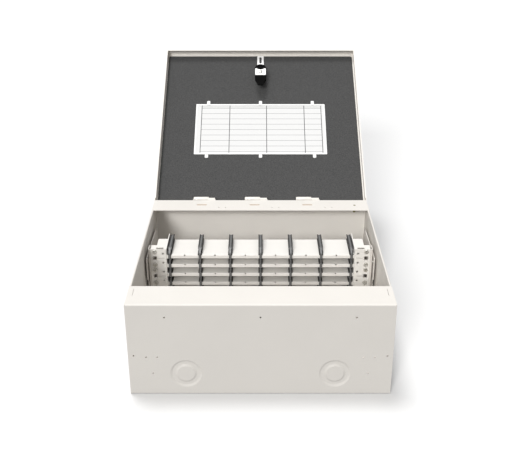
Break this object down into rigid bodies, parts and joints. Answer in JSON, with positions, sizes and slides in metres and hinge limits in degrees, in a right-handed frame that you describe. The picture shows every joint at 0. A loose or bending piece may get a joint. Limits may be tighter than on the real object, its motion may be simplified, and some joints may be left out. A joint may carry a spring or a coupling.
{
  "type": "fiber termination box",
  "caption": "Wall-mount steel fiber termination enclosure, hinged door open, foam-lined door with chart holder and cam lock, rack-width stack of cassette trays inside.",
  "frame": {"origin": "centre of the four wall-mounting holes, on the back face", "axes": "+Z out of the wall, +Y from the knockout wall to the hinge wall, +X to the right seen from the open front"},
  "size_m": [0.517, 0.9385, 0.4762],
  "materials": {
    "powder_coat": "near-white powder coat, fine orange peel",
    "bracket_coat": "near-white powder coat",
    "chassis_coat": "near-white powder coat",
    "guide_black": "moulded black plastic, semi-gloss",
    "zinc": "zinc-plated",
    "pin_steel": "plain steel pin",
    "foam": "closed-cell foam sheet, matt",
    "frame_white": "moulded white plastic",
    "card_paper": "printed card",
    "lock_black": "moulded black, glossy",
    "clip_white": "bright coated steel",
    "lock_chrome": "nickel plate"
  },
  "bodies": {
    "enclosure": {"box_wrap": "powder_coat", "bracket_screws": "zinc", "chassis_side_left": "chassis_coat", "chassis_side_right": "chassis_coat", "ground_stud": "zinc", "hinge_box_leaf_1": "powder_coat", "hinge_box_leaf_2": "powder_coat", "hinge_box_leaf_3": "powder_coat", "hinge_pin_1": "pin_steel", "hinge_pin_2": "pin_steel", "hinge_pin_3": "pin_steel", "rack_bracket_left": "bracket_coat", "rack_bracket_right": "bracket_coat", "rack_nuts": "zinc", "rack_rail_left": "bracket_coat", "rack_rail_right": "bracket_coat", "rack_screws": "zinc", "rail_spacers_and_screws": "zinc", "side_wall_left": "powder_coat", "side_wall_right": "powder_coat", "tray_1": "chassis_coat", "tray_2": "chassis_coat", "tray_3": "chassis_coat", "tray_4": "chassis_coat", "tray_5": "chassis_coat", "tray_6": "chassis_coat", "tray_7": "chassis_coat", "tray_8": "chassis_coat", "tray_guides_1": "guide_black", "tray_guides_2": "guide_black", "tray_guides_3": "guide_black", "tray_guides_4": "guide_black", "tray_guides_5": "guide_black", "tray_guides_6": "guide_black", "tray_guides_7": "guide_black", "tray_guides_8": "guide_black", "tray_rivets": "zinc"},
    "door": {"chart_card": "card_paper", "chart_clips": "frame_white", "chart_frame": "frame_white", "door_foam_liner": "foam", "door_panel": "powder_coat", "hinge_door_leaf_1": "powder_coat", "hinge_door_leaf_2": "powder_coat", "hinge_door_leaf_3": "powder_coat", "hinge_rivets": "zinc", "lock_face": "lock_chrome", "lock_housing": "lock_black", "lock_retaining_clip": "clip_white"},
    "lock_cam": {"cam_plate": "clip_white", "cam_screw": "zinc", "lock_cam": "lock_black", "lock_plug": "lock_chrome"}
  },
  "joints": [
    {"name": "door_hinge", "type": "hinge", "parent": "enclosure", "child": "door", "pos_m": [0, 0.2545, 0.203], "axis": [1, 0, 0], "range_deg": [0, 147]},
    {"name": "lock_turn", "type": "hinge", "parent": "door", "child": "lock_cam", "pos_m": [0, 0.59584, 0.42467], "axis": [0, -0.5446, 0.8387], "range_deg": [0, 180]}
  ]
}
